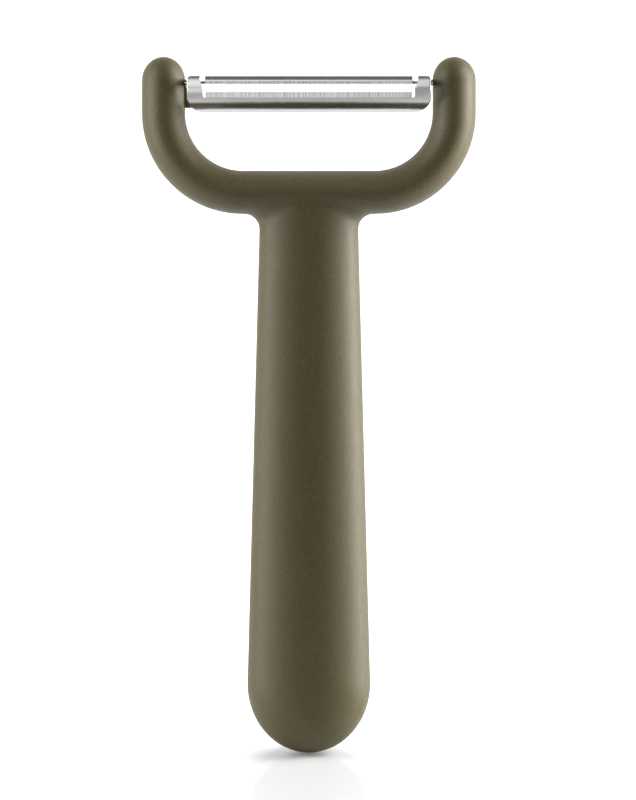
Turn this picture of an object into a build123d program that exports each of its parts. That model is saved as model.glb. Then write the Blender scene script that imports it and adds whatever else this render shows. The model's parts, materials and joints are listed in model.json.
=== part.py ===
"""A Y-shaped vegetable peeler: a moulded handle that forks into two arms, and a
stamped steel blade that swivels between the tips of the arms.

Millimetres. +Z runs up the handle, +X to the right and -Y out of the face that
is held towards the user. The origin is under the middle of the round butt.
"""
from build123d import *
from math import asin, atan, cos, degrees, radians, sin, sqrt, tan
import os

# Handle, moulded in one piece with the fork
overall_height = 146.0
butt_width = 25.8
butt_height = 14.4
handle_taper = 1.52
handle_depth_share = 0.70

# Fork
arm_width = 9.1
corner_radius = 12.1
fork_reach = 23.9
tip_height = 5.0
tip_depth = 10.8
shoulder_depth = 11.4
corner_depth = 14.2
crossbar_depth = 15.4
neck_fillet = 3.2

# Blade, stamped from one sheet and curved about its own swivel axis
pivot_drop = 5.4
blade_length = 51.2
blade_side_play = 0.35
blade_radius = 6.33
sheet = 0.65
blade_rise = 1.22
lip_angle = 84.0
corner_length = 3.8
corner_height = 3.1
shoulder_chamfer = 0.5
edge_round = 0.3

# Slot between the two rails, with heights taken from the swivel axis
end_plate_width = 2.93
slot_end_lean = 0.45
slot_end_drop = 0.7
slot_top = 0.42
slot_bottom = 2.08
slot_relief_width = 0.55
slot_relief_corner = 0.45
keen_edge = 0.04

# Ground facets on the two rails
lower_grind = 1.17
upper_grind = 0.55

# Guard rail above the slot, folded back between two bend reliefs
fold_inset = 0.5
fold_height = 0.45
fold_lean = 40.0
bend_relief_width = 1.05
bend_relief_radius = 0.6
bend_relief_rise = 0.3

# Ears at the ends of the blade, and the trunnions rolled on them
ear_height = 1.4
trunnion_reach = 2.0
trunnion_hollow = 0.5
trunnion_seam = 0.36

# Sockets in the arms, and the stop that the left ear rests on
pivot_clearance = 0.05
socket_end_play = 0.35
socket_lead_in = 0.4
stop_reach = 1.6
stop_depth = 3.0
stop_top_clearance = 0.06
stop_foot_clearance = 0.3
stop_fillet = 0.3

# How far a cut runs past the solid that it cuts
overrun = 2.0

# The point half way along an edge
middle_share = 0.5

# Lengths and places worked out from the sizes above
arm_gap = blade_length + 2 * blade_side_play
slot_length = blade_length - 2 * end_plate_width
slot_foot_length = slot_length - 2 * slot_end_lean
facet_length = slot_foot_length - 2 * slot_relief_width
fold_length = slot_foot_length - 2 * fold_inset
arm_centre = (arm_gap + arm_width) / 2
bend_radius = corner_radius + arm_width / 2
bend_centre_x = arm_gap / 2 - corner_radius
crossbar_z = overall_height - fork_reach - arm_width / 2
bend_centre_z = crossbar_z + bend_radius
cap_z = overall_height - tip_height
pivot_z = overall_height - pivot_drop
inner_radius = blade_radius - sheet
ear_radius = ear_height / 2
stop_foot_radius = inner_radius - stop_foot_clearance


def handle_body():
    """The grip: half its outline turned about Z, then flattened from front to back."""
    half_width = butt_width / 2
    slope = tan(radians(handle_taper))
    joint_angle = degrees(atan(slope * butt_height / half_width))
    centre = (0, butt_height)
    butt = EllipticalCenterArc(centre, half_width, butt_height, -90, arc_size=90 + joint_angle)
    start = butt @ 1
    neck_half = start.X - slope * (crossbar_z - start.Y)
    side = Line(start, (neck_half, crossbar_z))
    top = Line((neck_half, crossbar_z), (0, crossbar_z))
    middle = Line((0, crossbar_z), (0, 0))
    outline = make_face(butt + side + top + middle)
    turned = revolve(Plane.XZ * outline, Axis.Z)
    return scale(turned, by=(1, handle_depth_share, 1))


def fork_path():
    """Centre line of the fork, from the left tip round to the right tip."""
    left_tip = (-arm_centre, 0, cap_z)
    left_bend = (-arm_centre, 0, bend_centre_z)
    left_bar = (-bend_centre_x, 0, crossbar_z)
    right_bar = (bend_centre_x, 0, crossbar_z)
    right_bend = (arm_centre, 0, bend_centre_z)
    right_tip = (arm_centre, 0, cap_z)
    left_arc = TangentArc(left_bend, left_bar, tangent=(0, 0, -1))
    right_arc = TangentArc(right_bar, right_bend, tangent=(1, 0, 0))
    left_runs = [Line(left_tip, left_bend), left_arc, Line(left_bar, right_bar)]
    right_runs = [right_arc, Line(right_bend, right_tip)]
    return Wire(left_runs + right_runs)


def fork_section(place, along, depth):
    """One oval cross-section of the fork, square to its centre line."""
    across = Vector(0, 1, 0).cross(Vector(along))
    plane = Plane(origin=place, x_dir=across, z_dir=along)
    return plane * Ellipse(arm_width / 2, depth / 2)


def fork_body():
    """The crossbar, its two round corners and the arms, deepest at the crossbar."""
    down, right, up = (0, 0, -1), (1, 0, 0), (0, 0, 1)
    stations = [
        ((-arm_centre, 0, cap_z), down, tip_depth),
        ((-arm_centre, 0, bend_centre_z), down, shoulder_depth),
        ((-bend_centre_x, 0, crossbar_z), right, corner_depth),
        ((0, 0, crossbar_z), right, crossbar_depth),
        ((bend_centre_x, 0, crossbar_z), right, corner_depth),
        ((arm_centre, 0, bend_centre_z), up, shoulder_depth),
        ((arm_centre, 0, cap_z), up, tip_depth),
    ]
    sections = [fork_section(place, along, depth) for place, along, depth in stations]
    return sweep(sections=sections, path=fork_path(), multisection=True)


def arm_tip(side):
    """The rounded end of one arm, from the top of its straight run."""
    radius = arm_width / 2
    dome = Sphere(radius, arc_size1=0, align=(Align.CENTER, Align.CENTER, Align.MIN))
    dome = scale(dome, by=(1, tip_depth / arm_width, tip_height / radius))
    return Pos(side * arm_centre, 0, cap_z) * dome


def along_x(start, end, radius, end_radius=None):
    """A cylinder, or a cone with its own end radius, about the swivel axis."""
    plane = Plane(origin=(start, 0, pivot_z), z_dir=(1 if end > start else -1, 0, 0))
    length = abs(end - start)
    middle = Pos(0, 0, length / 2)
    if end_radius is None:
        return plane * middle * Cylinder(radius, length)
    return plane * middle * Cone(radius, end_radius, length)


def socket(side):
    """The blind bore for one trunnion, with a lead-in at its mouth."""
    mouth = side * arm_gap / 2
    bottom = side * (blade_length / 2 + trunnion_reach + socket_end_play)
    bore_radius = ear_radius + pivot_clearance
    bore = along_x(mouth - side * overrun, bottom, bore_radius)
    wide = bore_radius + socket_lead_in
    lead_in = along_x(mouth, mouth + side * socket_lead_in, wide, bore_radius)
    return bore + lead_in


def swing_stop():
    """The rib under the left socket: flat on top, and round below to clear the blade."""
    top = pivot_z - ear_radius - stop_top_clearance
    foot = pivot_z - stop_foot_radius
    root = -arm_gap / 2 - arm_width / 4
    tip = -arm_gap / 2 + stop_reach
    rib = Box(tip - root, stop_depth, top - foot)
    rib = Pos((root + tip) / 2, 0, (top + foot) / 2) * rib
    rib = rib & along_x(root, tip, stop_foot_radius)
    tip_edges = rib.edges().filter_by_position(Axis.X, tip, tip)
    return fillet(tip_edges, stop_fillet)


def handle_fork():
    """Handle, fork, sockets and stop: everything that is moulded in one shot."""
    body = handle_body() + fork_body()
    below_bar = body.edges().filter_by(lambda edge: edge.bounding_box().max.Z < crossbar_z)
    seam = below_bar.filter_by(lambda edge: edge.bounding_box().min.Z > butt_height)
    body = fillet(seam, neck_fillet)
    body = body + arm_tip(-1) + arm_tip(1)
    body = body - socket(-1) - socket(1)
    return body + swing_stop()


def yz_prism(points, half_length):
    """A prism along X whose section is a polygon about the swivel axis."""
    outline = make_face(Polyline(*points, close=True))
    prism = extrude(Plane.YZ * outline, amount=half_length, both=True)
    return Pos(0, 0, pivot_z) * prism


def front_prism(outline):
    """A prism that runs forward from the swivel axis, cut to an outline seen from the front."""
    prism = extrude(Plane.XZ * outline, amount=blade_radius + overrun)
    return Pos(0, 0, pivot_z) * prism


def skin(radius, height):
    """The point of a curved face of the sheet that lies at a height above the axis."""
    return (-sqrt(radius**2 - height**2), height)


def curved_sheet():
    """The sheet, curved about the swivel axis, before anything is stamped out of it."""
    rise_angle = degrees(asin(blade_rise / blade_radius))
    start = 180 - rise_angle
    size = rise_angle + lip_angle
    outer = CenterArc((0, 0), blade_radius, start, size)
    inner = CenterArc((0, 0), inner_radius, start, size)
    top = Line(outer @ 0, inner @ 0)
    lip = Line(outer @ 1, inner @ 1)
    section = make_face(outer + inner + top + lip)
    strip = extrude(Plane.YZ * section, amount=blade_length / 2, both=True)
    return Pos(0, 0, pivot_z) * strip


def front_outline():
    """Outline of the blade from the front: clipped shoulders and rounded lower corners."""
    half = blade_length / 2
    corner_z = corner_height - blade_radius
    right = (half - corner_length, corner_z)
    left = (corner_length - half, corner_z)
    left_corner = EllipticalCenterArc(left, corner_length, corner_height, 180, arc_size=90)
    right_corner = EllipticalCenterArc(right, corner_length, corner_height, 270, arc_size=90)
    top = blade_rise + overrun
    shoulder = blade_rise - shoulder_chamfer
    clip = shoulder_chamfer + overrun
    left_side = Polyline((clip - half, top), (-half, shoulder), left_corner @ 0)
    right_side = Polyline(right_corner @ 1, (half, shoulder), (half - clip, top))
    return make_face(
        left_side
        + left_corner
        + Line(left_corner @ 1, right_corner @ 0)
        + right_corner
        + right_side
        + Line((half - clip, top), (clip - half, top))
    )


def is_outer_rim(edge):
    """True for an edge of the outer face that runs down one end or round its corner."""
    points = [edge @ 0, edge @ middle_share, edge @ 1]
    reach = [sqrt(point.Y**2 + (point.Z - pivot_z) ** 2) for point in points]
    on_face = min(reach) > blade_radius - keen_edge
    at_end = abs(points[1].X) > blade_length / 2 - corner_length
    return on_face and at_end and points[1].Z < pivot_z + blade_rise - shoulder_chamfer


def slot_outline():
    """The slot with its leaning ends, and a narrow relief at each end of the lower rail."""
    top = slot_length / 2
    foot = slot_foot_length / 2
    inset = facet_length / 2
    relief_z = -slot_bottom - lower_grind
    points = [
        (-top, -slot_top),
        (-foot, -slot_top - slot_end_drop),
        (-foot, relief_z),
        (-inset, relief_z),
        (-inset, -slot_bottom),
        (inset, -slot_bottom),
        (inset, relief_z),
        (foot, relief_z),
        (foot, -slot_top - slot_end_drop),
        (top, -slot_top),
    ]
    outline = make_face(Polyline(*points, close=True))
    low_corners = outline.vertices().filter_by(lambda corner: corner.Y < -slot_bottom - keen_edge)
    outer_corners = low_corners.filter_by(lambda corner: abs(corner.X) > inset + keen_edge)
    return fillet(outer_corners, slot_relief_corner)


def lower_facet():
    """What is ground off the lower rail: a nearly upright flat up to its keen edge."""
    keel = skin(blade_radius, -slot_bottom - lower_grind)
    edge_y, edge_z = skin(inner_radius, -slot_bottom)
    edge = (edge_y - keen_edge, edge_z)
    front = -blade_radius - overrun
    middle_z = -(slot_top + slot_bottom) / 2
    points = [keel, edge, (edge[0], middle_z), (front, middle_z), (front, keel[1])]
    return yz_prism(points, facet_length / 2)


def upper_facet():
    """What is ground off the guard rail: a steep flat down to its keen edge."""
    crown = skin(blade_radius, upper_grind - slot_top)
    edge_y, edge_z = skin(inner_radius, -slot_top)
    edge = (edge_y - keen_edge, edge_z)
    front = -blade_radius - overrun
    middle_z = -(slot_top + slot_bottom) / 2
    points = [crown, edge, (edge[0], middle_z), (front, middle_z), (front, crown[1])]
    return yz_prism(points, slot_length / 2)


def bend_relief(side):
    """The round hole punched at one end of the crease before the rail is folded."""
    centre_x = side * (fold_length / 2 + bend_relief_radius)
    hole = Pos(centre_x, fold_height + bend_relief_rise) * Circle(bend_relief_radius)
    return front_prism(hole)


def fold_back():
    """The upper part of the guard rail, leaning back from the crease."""
    lean = radians(fold_lean)
    crease = skin(blade_radius, fold_height)
    rise = blade_rise - fold_height
    crest = (crease[0] + rise * tan(lean), blade_rise)
    inward = (cos(lean) * sheet, -sin(lean) * sheet)
    back = (crest[0] + inward[0], crest[1] + inward[1])
    root_height = fold_height - sheet / 2
    root = skin(inner_radius, root_height)
    front = skin((blade_radius + inner_radius) / 2, root_height)
    return yz_prism([crease, crest, back, root, front], fold_length / 2)


def ear(side):
    """The tab bent in from one end of the sheet to the swivel axis."""
    end = side * blade_length / 2
    inner = end - side * sheet
    middle = (end + inner) / 2
    tab = Box(sheet, inner_radius + sheet / 2, ear_height)
    tab = Pos(middle, -(inner_radius + sheet / 2) / 2, pivot_z) * tab
    return tab + along_x(inner, end, ear_radius)


def trunnion(side):
    """The pin rolled from the tip of an ear, hollow and with its seam underneath."""
    end = side * blade_length / 2
    tip = end + side * trunnion_reach
    pin = along_x(end, tip, ear_radius)
    hollow = along_x(end, tip, trunnion_hollow / 2)
    seam = Box(trunnion_reach, trunnion_seam, ear_radius)
    seam = Pos((end + tip) / 2, 0, pivot_z - ear_radius / 2) * seam
    return pin - hollow - seam


def swivel_blade():
    """The blade: curved, stamped, ground, folded and rolled from one sheet."""
    blade = curved_sheet() & front_prism(front_outline())
    blade = fillet(blade.edges().filter_by(is_outer_rim), edge_round)
    fold_zone = fold_length + 2 * bend_relief_width
    tall = blade_rise + overrun - fold_height
    above = Box(fold_zone, 2 * (blade_radius + overrun), tall)
    blade = blade - Pos(0, 0, pivot_z + fold_height + tall / 2) * above
    blade = blade - bend_relief(-1) - bend_relief(1)
    blade = blade + fold_back()
    blade = blade - front_prism(slot_outline()) - lower_facet() - upper_facet()
    for side in (-1, 1):
        blade = blade + ear(side) + trunnion(side)
    return blade


def main():
    os.makedirs("parts", exist_ok=True)
    export_step(handle_fork(), "parts/handle_fork.step")
    export_step(swivel_blade(), "parts/swivel_blade.step")


if __name__ == "__main__":
    main()
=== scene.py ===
"""Dresses a fork-shaped vegetable peeler and sets it up for a studio picture.

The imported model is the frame: one moulded handle with its fork, and one stamped
blade that swivels between the arm tips. Lengths and places are in metres.
"""

import json
from math import cos, pi, radians, sin, tan

import bpy
from bpy.props import FloatProperty, FloatVectorProperty, PointerProperty
from bpy.types import Operator, Panel, PropertyGroup
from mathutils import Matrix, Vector

bl_info = {
    "name": "Vegetable Peeler",
    "version": (1, 0, 0),
    "blender": (4, 5, 0),
    "location": "3D View > Sidebar > Peeler",
    "description": "Moulded plastic and ground steel finishes for a vegetable peeler, with its studio",
    "category": "Object",
}

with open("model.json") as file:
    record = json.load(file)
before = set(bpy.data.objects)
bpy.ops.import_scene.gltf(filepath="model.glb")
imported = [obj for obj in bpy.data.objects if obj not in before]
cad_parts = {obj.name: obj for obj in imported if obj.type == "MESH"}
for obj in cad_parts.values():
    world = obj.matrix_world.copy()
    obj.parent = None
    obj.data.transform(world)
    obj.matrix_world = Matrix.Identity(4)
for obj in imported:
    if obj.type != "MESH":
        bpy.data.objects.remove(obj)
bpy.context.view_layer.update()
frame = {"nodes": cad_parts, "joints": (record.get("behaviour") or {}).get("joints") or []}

HANDLE = "handle_fork"
BLADE = "swivel_blade"
SWIVEL = frame["joints"][0]["pos_m"]

# The blade's ground facets, which also carry a painted highlight: heights and depth from the swivel axis,
# and half their length
FACET_FOOT = -0.00325
FACET_TOP = 0.00013
FACET_FRONT = -0.0053
FACET_END = 0.0217

# The range that nearly all values of a noise texture lie in
NOISE_LOW = 0.3
NOISE_HIGH = 0.7

# Cells per metre of the plastic's slow drift in tone and of its wear, along X, Y and Z
DRIFT_CELLS = (60, 60, 25)
WEAR_CELLS = (900, 900, 900)

# How far the drift changes the plastic's tone, and the wear its roughness
DRIFT_SHARE = 0.2
WEAR_SHARE = 0.03

# Cells per metre of the sheet steel's clouds and of its rolled skin, along X, Y and Z
CLOUD_CELLS = (300, 900, 900)
ROLLED_CELLS = (150, 2500, 2500)

# Cells per metre along an upright streak and along a grinding mark
STREAK_CELLS = 30
MARK_CELLS = 40

# The share of the steel's brightness that its dullest spots keep
DULLEST_CLOUD = 0.93
DULLEST_STREAK = 0.45

# Depth of the rolled skin, as a share of a grinding mark's depth
ROLLED_SHARE = 0.05

# The white sheet: its floor from front to back, the bend behind it, and its upright wall
SHEET_FRONT = -0.65
SHEET_BACK = 0.5
SHEET_BEND = 0.5
SHEET_TOP = 2.2
SHEET_HALF_WIDTH = 1.8
BEND_STEPS = 16

# How far the white sheet lies under the foot of the butt, so that the two don't touch
SHEET_DROP = 0.00025

# Greys of the white sheet: far in front, around the butt, and around the butt as bounced light
FRONT_GREY = 0.36
BUTT_GREY = 0.45
BOUNCE_GREY = 0.8

# Stretches of depth over which the floor passes from the front's grey to the butt's
GREY_DEPTHS = (-0.25, -0.05)
BOUNCE_DEPTHS = (-0.06, -0.02)

# Strength of the white sheet's glow around the butt and away from it
BUTT_GLOW = 0.1
FLOOR_GLOW = 0.9

# Where the glow comes in: up the wall, behind the butt, in front of it and at the sides
WALL_HEIGHTS = (0.1, 0.5)
BACK_DEPTHS = (0.03, 0.16)
FRONT_DEPTHS = (-0.6, -0.38)
OUTER_WIDTHS = (0.2, 0.35)

# Where it comes in beside the butt, past a strip that opens out toward the camera
BESIDE_WIDTHS = (0.006, 0.019)
BESIDE_DEPTHS = (-0.09, -0.055)
BESIDE_FLARE = 0.35

# Strength of the room as a light and in reflections
ROOM_LIGHT = 0.02
ROOM_MIRRORED = 0.1

# The point on the peeler that the lights beside it shine at
AIM = (0, 0, 0.09)

# Height and width of a soft light beside the peeler, and its rise over the horizon
STRIP = (0.5, 0.1, radians(3))
PANEL = (0.3, 0.32, radians(38))

# Those lights by side, each with its degrees around from the front and its share of the power
LEFT_LIGHTS = (
    ("Left Light", STRIP, -82, 0.48),
    ("Left Front Light", STRIP, -60, 0.17),
    ("Left Back Light", STRIP, -101, 0.09),
    ("Left High Light", PANEL, -75, 0.26),
)
RIGHT_LIGHTS = (
    ("Right Light", STRIP, 82, 0.23),
    ("Right Back Light", STRIP, 101, 0.5),
    ("Right High Light", PANEL, 84, 0.27),
)

# The wide dim lights overhead and behind, with their height and width
TOP_PLACE = (0, 0.1, 1.3)
TOP_SIZE = (2.4, 2.4)
BACK_PLACE = (0, 0.88, 1.25)
BACK_SIZE = (1.9, 3.6)

# The two cards in front that only the steel mirrors, with their height and width
CARD_PLACE = (-0.08, -0.45, 0.118)
CARD_SIZE = (0.235, 0.26)
LOW_CARD_PLACE = (-0.065, -0.22, 0.01)
LOW_CARD_SIZE = (0.1, 0.13)
LOW_CARD_SHARE = 0.12


class HandleSettings(PropertyGroup):
    """Finish of the moulded handle and fork."""

    plastic_color: FloatVectorProperty(
        name="Plastic Color",
        description="Dark olive-brown of the moulded plastic",
        subtype="COLOR",
        size=4,
        min=0,
        max=1,
        default=(0.0465, 0.0385, 0.0145, 1),
    )
    pale_color: FloatVectorProperty(
        name="Pale Color",
        description="Olive-brown of the paler specks in the plastic",
        subtype="COLOR",
        size=4,
        min=0,
        max=1,
        default=(0.0775, 0.0645, 0.027, 1),
    )
    roughness: FloatProperty(
        name="Roughness",
        description="How matte the moulded surface is",
        subtype="FACTOR",
        min=0,
        max=1,
        default=0.55,
    )
    shine: FloatProperty(
        name="Shine",
        description="Index of refraction of the moulded surface",
        min=1,
        default=1.35,
    )
    grain_size: FloatProperty(
        name="Grain Size",
        description="Width of one pit of the fine texture that the mould leaves",
        unit="LENGTH",
        default=0.00028,
    )
    grain_depth: FloatProperty(
        name="Grain Depth",
        description="Depth of the fine texture that the mould leaves",
        unit="LENGTH",
        default=0.000008,
    )


class BladeSettings(PropertyGroup):
    """Finish of the stamped blade."""

    steel_color: FloatVectorProperty(
        name="Steel Color",
        description="Color of the stainless sheet",
        subtype="COLOR",
        size=4,
        min=0,
        max=1,
        default=(0.42, 0.42, 0.41, 1),
    )
    # Much brighter than the sheet's own steel: a painted highlight on top of the facets' real ground finish
    ground_highlight_color: FloatVectorProperty(
        name="Ground Color",
        description="Color of the steel where the facets are freshly ground",
        subtype="COLOR",
        size=4,
        min=0,
        max=1,
        default=(0.88, 0.88, 0.87, 1),
    )
    edge_color: FloatVectorProperty(
        name="Edge Color",
        description="Color of the steel where it is seen nearly edge-on",
        subtype="COLOR",
        size=4,
        min=0,
        max=1,
        default=(0.82, 0.82, 0.82, 1),
    )
    roughness: FloatProperty(
        name="Roughness",
        description="How satin the rolled skin of the sheet is",
        subtype="FACTOR",
        min=0,
        max=1,
        default=0.22,
    )
    ground_roughness: FloatProperty(
        name="Ground Roughness",
        description="How satin the ground facets are",
        subtype="FACTOR",
        min=0,
        max=1,
        default=0.42,
    )
    mark_spacing: FloatProperty(
        name="Mark Spacing",
        description="Distance between two grinding marks on a facet",
        unit="LENGTH",
        default=0.0002,
    )
    mark_depth: FloatProperty(
        name="Mark Depth",
        description="Depth of the grinding marks",
        unit="LENGTH",
        default=0.000006,
    )


class StudioSettings(PropertyGroup):
    """Camera, white sheet and lights."""

    camera_distance: FloatProperty(
        name="Camera Distance",
        description="Distance from the camera to the swivel plane",
        unit="LENGTH",
        default=3.0,
    )
    view_height: FloatProperty(
        name="View Height",
        description="Height of the picture where the peeler stands",
        unit="LENGTH",
        default=0.16789,
    )
    view_middle: FloatProperty(
        name="View Middle",
        description="Height of the picture's middle over the foot of the butt",
        unit="LENGTH",
        default=0.07398,
    )
    view_side: FloatProperty(
        name="View Side",
        description="How far the picture's middle lies to the right of the peeler's",
        unit="LENGTH",
        default=0.00192,
    )
    floor_slope: FloatProperty(
        name="Floor Slope",
        description="How much the white sheet under the butt rises to the back",
        subtype="ANGLE",
        default=radians(11),
    )
    light_distance: FloatProperty(
        name="Light Distance",
        description="Distance from the peeler to the lights on its sides",
        unit="LENGTH",
        default=0.6,
    )
    left_power: FloatProperty(
        name="Left Power",
        description="Power of the soft lights on the left",
        unit="POWER",
        default=8.1,
    )
    right_power: FloatProperty(
        name="Right Power",
        description="Power of the soft lights on the right",
        unit="POWER",
        default=16.2,
    )
    top_power: FloatProperty(
        name="Top Power",
        description="Power of the wide dim light overhead",
        unit="POWER",
        default=3.4,
    )
    back_power: FloatProperty(
        name="Back Power",
        description="Power of the wide dim light behind the peeler",
        unit="POWER",
        default=21.5,
    )
    card_power: FloatProperty(
        name="Card Power",
        description="Power of the card in front that only the steel mirrors",
        unit="POWER",
        default=0.4,
    )


class Shading:
    """A few short ways to lay out the nodes of a material or of the world."""

    def __init__(self, owner):
        owner.use_nodes = True
        self.owner = owner
        self.nodes = owner.node_tree.nodes
        self.links = owner.node_tree.links

    @property
    def shader(self):
        return self.nodes["Principled BSDF"]

    def add(self, kind, **settings):
        node = self.nodes.new(kind)
        for key, value in settings.items():
            setattr(node, key, value)
        return node

    def join(self, source, target):
        self.links.new(source, target)

    def position(self):
        """X, Y and Z of the shaded point, from its own object's origin."""
        coords = self.add("ShaderNodeTexCoord")
        split = self.add("ShaderNodeSeparateXYZ")
        self.join(coords.outputs["Object"], split.inputs["Vector"])
        return split.outputs["X"], split.outputs["Y"], split.outputs["Z"]

    def noise(self, cells, detail=2.0, roughness=0.5):
        """Noise with so many cells per metre along each axis, which moves with its piece."""
        coords = self.add("ShaderNodeTexCoord")
        mapping = self.add("ShaderNodeMapping")
        mapping.inputs["Scale"].default_value = cells
        self.join(coords.outputs["Object"], mapping.inputs["Vector"])
        node = self.add("ShaderNodeTexNoise")
        node.inputs["Scale"].default_value = 1
        node.inputs["Detail"].default_value = detail
        node.inputs["Roughness"].default_value = roughness
        self.join(mapping.outputs["Vector"], node.inputs["Vector"])
        return node.outputs["Fac"]

    def spread(self, value, low, high, to_low, to_high):
        """Maps the range from low to high onto another one, and clamps what lies outside."""
        node = self.add("ShaderNodeMapRange")
        node.inputs["From Min"].default_value = low
        node.inputs["From Max"].default_value = high
        node.inputs["To Min"].default_value = to_low
        node.inputs["To Max"].default_value = to_high
        self.join(value, node.inputs["Value"])
        return node.outputs["Result"]

    def math(self, kind, first, second=0):
        """Works on two values; each is a plain number or the output of another node."""
        node = self.add("ShaderNodeMath", operation=kind)
        for socket, value in zip(node.inputs, (first, second)):
            if isinstance(value, (int, float)):
                socket.default_value = value
            else:
                self.join(value, socket)
        return node.outputs["Value"]

    def blend(self, factor, first, second):
        """Mixes two colors; each is a plain color or the output of another node."""
        node = self.add("ShaderNodeMix", data_type="RGBA")
        self.join(factor, node.inputs["Factor"])
        for name, value in (("A", first), ("B", second)):
            socket = [s for s in node.inputs if s.name == name and s.type == "RGBA"][0]
            if isinstance(value, bpy.types.NodeSocket):
                self.join(value, socket)
            else:
                socket.default_value = value
        return [s for s in node.outputs if s.type == "RGBA"][0]

    def emboss(self, height, depth):
        """Presses a height pattern into the surface."""
        node = self.add("ShaderNodeBump")
        node.inputs["Strength"].default_value = 1
        node.inputs["Distance"].default_value = depth
        self.join(height, node.inputs["Height"])
        self.join(node.outputs["Normal"], self.shader.inputs["Normal"])

    def mirrored(self, path):
        """1 for rays that come by way of a reflection or through a clear surface."""
        return self.math("MAXIMUM", path.outputs["Is Glossy Ray"], path.outputs["Is Transmission Ray"])


def grey(level):
    return (level, level, level, 1)


def assign(node_name, material):
    """Gives a CAD piece its finish, in every slot that it has."""
    piece = frame["nodes"][node_name]
    if not piece.material_slots:
        raise RuntimeError(node_name + " has no material slot")
    for slot in piece.material_slots:
        slot.material = material


class PEELER_OT_handle(Operator):
    """Finish the handle and its fork as matte moulded plastic"""

    bl_idname = "peeler.handle"
    bl_label = "Finish Handle"

    def execute(self, context):
        look = context.scene.peeler_handle
        finish = Shading(bpy.data.materials.new("Moulded Plastic"))
        shader = finish.shader
        grain = finish.noise([1 / look.grain_size] * 3, roughness=0.6)
        tone = self.tone(finish, grain)
        finish.join(finish.blend(tone, look.plastic_color, look.pale_color), shader.inputs["Base Color"])
        wear = finish.noise(WEAR_CELLS, detail=1)
        glossiest, dullest = look.roughness - WEAR_SHARE, look.roughness + WEAR_SHARE
        mattness = finish.spread(wear, NOISE_LOW, NOISE_HIGH, glossiest, dullest)
        finish.join(mattness, shader.inputs["Roughness"])
        shader.inputs["IOR"].default_value = look.shine
        finish.emboss(grain, look.grain_depth)
        assign(HANDLE, finish.owner)
        return {"FINISHED"}

    def tone(self, finish, grain):
        """From dark plastic to pale specks: the grain, with a slow drift from end to end."""
        drift = finish.math("MULTIPLY", finish.noise(DRIFT_CELLS, detail=3), DRIFT_SHARE)
        margin = DRIFT_SHARE / 2
        specks = finish.spread(grain, NOISE_LOW, NOISE_HIGH, -margin, 1 - margin)
        return finish.math("ADD", specks, drift)


class PEELER_OT_blade(Operator):
    """Finish the blade as satin sheet steel, with upright grinding marks and a painted highlight on its
    facets
    """

    bl_idname = "peeler.blade"
    bl_label = "Finish Blade"

    def execute(self, context):
        look = context.scene.peeler_blade
        finish = Shading(bpy.data.materials.new("Ground Steel"))
        shader = finish.shader
        shader.inputs["Metallic"].default_value = 1
        shader.inputs["Specular Tint"].default_value = look.edge_color
        ground = self.facet_share(finish)
        across = 1 / look.mark_spacing
        skin = self.uneven(finish, CLOUD_CELLS, look.steel_color, DULLEST_CLOUD)
        # The facets' brighter steel is a painted highlight; their marks and roughness are the real ground
        # finish
        facet = self.uneven(finish, (across, STREAK_CELLS, STREAK_CELLS), look.ground_highlight_color, DULLEST_STREAK)
        finish.join(finish.blend(ground, skin, facet), shader.inputs["Base Color"])
        mattness = finish.spread(ground, 0, 1, look.roughness, look.ground_roughness)
        finish.join(mattness, shader.inputs["Roughness"])
        marks = finish.noise((across, MARK_CELLS, MARK_CELLS), detail=3, roughness=0.65)
        rolled = finish.math("MULTIPLY", finish.noise(ROLLED_CELLS), ROLLED_SHARE)
        height = finish.math("ADD", finish.math("MULTIPLY", marks, ground), rolled)
        finish.emboss(height, look.mark_depth)
        assign(BLADE, finish.owner)
        return {"FINISHED"}

    def facet_share(self, finish):
        """1 on the ground facet under the slot and on the rail above it, 0 elsewhere; it places both their
        ground finish and their painted highlight.
        """
        x, y, z = finish.position()
        above = finish.math("GREATER_THAN", z, SWIVEL[2] + FACET_FOOT)
        below = finish.math("LESS_THAN", z, SWIVEL[2] + FACET_TOP)
        front = finish.math("LESS_THAN", y, SWIVEL[1] + FACET_FRONT)
        between = finish.math("LESS_THAN", finish.math("ABSOLUTE", x), FACET_END)
        level = finish.math("MULTIPLY", above, below)
        return finish.math("MULTIPLY", level, finish.math("MULTIPLY", front, between))

    def uneven(self, finish, cells, color, dullest):
        """A steel color that dulls here and there, down to a share of its brightness."""
        cloud = finish.spread(finish.noise(cells), NOISE_LOW, NOISE_HIGH, 0, 1)
        dull = tuple(dullest * value for value in color[:3]) + (1,)
        return finish.blend(cloud, dull, color)


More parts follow.
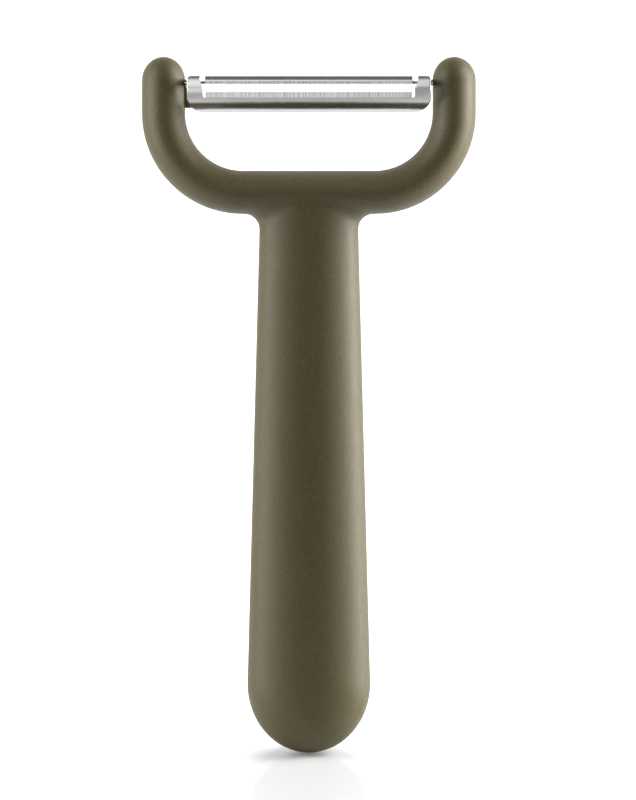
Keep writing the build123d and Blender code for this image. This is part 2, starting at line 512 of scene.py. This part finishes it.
class PEELER_OT_studio(Operator):
    """Set up the camera, the white sheet and the soft lights"""

    bl_idname = "peeler.studio"
    bl_label = "Build Studio"

    def execute(self, context):
        look = context.scene.peeler_studio
        self.camera(context, look)
        self.white_sheet(context, look)
        self.room(context)
        self.side_lights(look)
        self.wide_lights(look)
        self.steel_card("Steel Card", CARD_PLACE, CARD_SIZE, look.card_power)
        self.steel_card("Low Steel Card", LOW_CARD_PLACE, LOW_CARD_SIZE, LOW_CARD_SHARE * look.card_power)
        context.scene.view_settings.view_transform = "Standard"
        return {"FINISHED"}

    def camera(self, context, look):
        data = bpy.data.cameras.new("Camera")
        data.sensor_width = 36
        data.lens = data.sensor_width * look.camera_distance / look.view_height
        data.clip_start = 0.05
        data.clip_end = 50
        camera = bpy.data.objects.new("Camera", data)
        camera.location = (look.view_side, -look.camera_distance, look.view_middle)
        camera.rotation_euler = (pi / 2, 0, 0)
        context.scene.collection.objects.link(camera)
        context.scene.camera = camera

    def white_sheet(self, context, look):
        """A wide white sheet that lies under the butt and sweeps up behind the peeler."""
        profile = self.sheet_profile(look.floor_slope)
        points = [(side * SHEET_HALF_WIDTH, y, z) for y, z in profile for side in (-1, 1)]
        faces = [(2 * i, 2 * i + 1, 2 * i + 3, 2 * i + 2) for i in range(len(profile) - 1)]
        mesh = bpy.data.meshes.new("White Sheet")
        mesh.from_pydata(points, [], faces)
        mesh.shade_smooth()
        mesh.materials.append(self.sheet_finish())
        floor = bpy.data.objects.new("White_Sheet", mesh)
        context.scene.collection.objects.link(floor)

    def sheet_profile(self, slope):
        """Depths and heights of the sloping floor, the bend behind it and the wall's top."""
        profile = [(y, y * tan(slope)) for y in (SHEET_FRONT, SHEET_BACK)]
        centre_y = SHEET_BACK - SHEET_BEND * sin(slope)
        centre_z = SHEET_BACK * tan(slope) + SHEET_BEND * cos(slope)
        for step in range(1, BEND_STEPS + 1):
            angle = slope + (pi / 2 - slope) * step / BEND_STEPS
            profile.append((centre_y + SHEET_BEND * sin(angle), centre_z - SHEET_BEND * cos(angle)))
        profile.append((profile[-1][0], SHEET_TOP))
        return [(y, z - SHEET_DROP) for y, z in profile]

    def sheet_finish(self):
        """Matte white card with a faint gloss, which keeps the shadow around the butt."""
        finish = Shading(bpy.data.materials.new("White Card"))
        shader = finish.shader
        shader.inputs["Roughness"].default_value = 0.6
        shader.inputs["Coat Weight"].default_value = 0.3
        shader.inputs["Coat Roughness"].default_value = 0.06
        shader.inputs["Emission Color"].default_value = grey(1)
        path = finish.add("ShaderNodeLightPath")
        x, y, z = finish.position()
        near = finish.spread(y, *GREY_DEPTHS, 0, 1)
        under = finish.spread(y, *BOUNCE_DEPTHS, 0, 1)
        shown = finish.blend(near, grey(FRONT_GREY), grey(BUTT_GREY))
        bounced = finish.blend(under, grey(FRONT_GREY), grey(BOUNCE_GREY))
        card = finish.blend(path.outputs["Is Diffuse Ray"], shown, bounced)
        finish.join(card, shader.inputs["Base Color"])
        seen = finish.math("MAXIMUM", path.outputs["Is Camera Ray"], finish.mirrored(path))
        glow = finish.math("MULTIPLY", seen, self.sheet_glow(finish, x, y, z))
        finish.join(glow, shader.inputs["Emission Strength"])
        self.open_from_behind(finish, path)
        return finish.owner

    def sheet_glow(self, finish, x, y, z):
        """How white the sheet glows where it is seen: fully on the wall, least at the butt."""
        wall = finish.spread(z, *WALL_HEIGHTS, 0, 1)
        behind = finish.spread(y, *BACK_DEPTHS, 0, FLOOR_GLOW)
        before = finish.spread(y, *FRONT_DEPTHS, FLOOR_GLOW, 0)
        width = finish.math("ABSOLUTE", x)
        outer = finish.spread(width, *OUTER_WIDTHS, 0, FLOOR_GLOW)
        flared = finish.math("ADD", width, finish.math("MULTIPLY", y, BESIDE_FLARE))
        beside = finish.spread(flared, *BESIDE_WIDTHS, 0, FLOOR_GLOW)
        beside = finish.math("MULTIPLY", beside, finish.spread(y, *BESIDE_DEPTHS, 0, 1))
        glow = BUTT_GLOW
        for part in (wall, behind, before, outer, beside):
            glow = finish.math("MAXIMUM", part, glow)
        return glow

    def open_from_behind(self, finish, path):
        """Lets a camera behind or under the white sheet look through it."""
        side = finish.add("ShaderNodeNewGeometry")
        behind = finish.math("MULTIPLY", side.outputs["Backfacing"], path.outputs["Is Camera Ray"])
        clear = finish.add("ShaderNodeBsdfTransparent")
        factor, closed, opened = finish.add("ShaderNodeMixShader").inputs
        finish.join(behind, factor)
        finish.join(finish.shader.outputs["BSDF"], closed)
        finish.join(clear.outputs["BSDF"], opened)
        finish.join(factor.node.outputs["Shader"], finish.nodes["Material Output"].inputs["Surface"])

    def room(self, context):
        """A room that is white to the camera, dim in reflections and nearly dark as a light."""
        finish = Shading(bpy.data.worlds.new("Studio"))
        path = finish.add("ShaderNodeLightPath")
        dim = finish.spread(finish.mirrored(path), 0, 1, ROOM_LIGHT, ROOM_MIRRORED)
        background = finish.nodes["Background"]
        background.inputs["Color"].default_value = grey(1)
        strength = finish.math("MAXIMUM", dim, path.outputs["Is Camera Ray"])
        finish.join(strength, background.inputs["Strength"])
        context.scene.world = finish.owner

    def side_lights(self, look):
        """Upright strips beside the peeler, and one broad panel raised over each side."""
        for lights, power in ((LEFT_LIGHTS, look.left_power), (RIGHT_LIGHTS, look.right_power)):
            for name, (height, width, rise), around, share in lights:
                place = self.beside(look.light_distance, radians(around), rise)
                self.soft_light(name, place, AIM, (height, width), share * power)

    def beside(self, distance, around, rise):
        """A place so far from the aim, turned around from the front and raised."""
        flat = distance * cos(rise)
        return (flat * sin(around), -flat * cos(around), AIM[2] + distance * sin(rise))

    def wide_lights(self, look):
        """Wide dim lights overhead and behind, the second one hidden from camera and gloss."""
        below = (TOP_PLACE[0], TOP_PLACE[1], 0)
        self.soft_light("Top Light", TOP_PLACE, below, TOP_SIZE, look.top_power)
        back = self.level_light("Back Light", BACK_PLACE, BACK_SIZE, look.back_power)
        back.visible_camera = False
        back.visible_glossy = False

    def steel_card(self, name, place, size, power):
        """A card in front that only the steel mirrors."""
        card = self.level_light(name, place, size, power)
        card.visible_diffuse = False
        steel = bpy.data.collections.new(name)
        steel.objects.link(frame["nodes"][BLADE])
        card.light_linking.receiver_collection = steel

    def level_light(self, name, place, size, power):
        """A soft light that shines level and straight at the swivel plane."""
        return self.soft_light(name, place, (place[0], 0, place[2]), size, power)

    def soft_light(self, name, place, target, size, power):
        """An area light of a height and width, turned to its target."""
        data = bpy.data.lights.new(name, "AREA")
        data.shape = "RECTANGLE"
        data.size_y, data.size = size
        data.energy = power
        lamp = bpy.data.objects.new(name.replace(" ", "_"), data)
        lamp.location = place
        aim = Vector(target) - Vector(place)
        lamp.rotation_euler = aim.to_track_quat("-Z", "Y").to_euler()
        bpy.context.scene.collection.objects.link(lamp)
        return lamp


class PEELER_PT_sidebar(Panel):
    """Lists the finishes and the studio"""

    bl_label = "Vegetable Peeler"
    bl_idname = "PEELER_PT_sidebar"
    bl_space_type = "VIEW_3D"
    bl_region_type = "UI"
    bl_category = "Peeler"

    def draw(self, context):
        groups = (
            (context.scene.peeler_handle, "peeler.handle"),
            (context.scene.peeler_blade, "peeler.blade"),
            (context.scene.peeler_studio, "peeler.studio"),
        )
        for group, operator in groups:
            box = self.layout.box()
            for key in group.__annotations__:
                box.prop(group, key)
            box.operator(operator)


CLASSES = (
    HandleSettings,
    BladeSettings,
    StudioSettings,
    PEELER_OT_handle,
    PEELER_OT_blade,
    PEELER_OT_studio,
    PEELER_PT_sidebar,
)


def register():
    for cls in CLASSES:
        bpy.utils.register_class(cls)
    bpy.types.Scene.peeler_handle = PointerProperty(type=HandleSettings)
    bpy.types.Scene.peeler_blade = PointerProperty(type=BladeSettings)
    bpy.types.Scene.peeler_studio = PointerProperty(type=StudioSettings)


def unregister():
    del bpy.types.Scene.peeler_studio
    del bpy.types.Scene.peeler_blade
    del bpy.types.Scene.peeler_handle
    for cls in reversed(CLASSES):
        bpy.utils.unregister_class(cls)


def main():
    register()
    bpy.ops.peeler.handle()
    bpy.ops.peeler.blade()
    bpy.ops.peeler.studio()


if __name__ == "__main__":
    main()
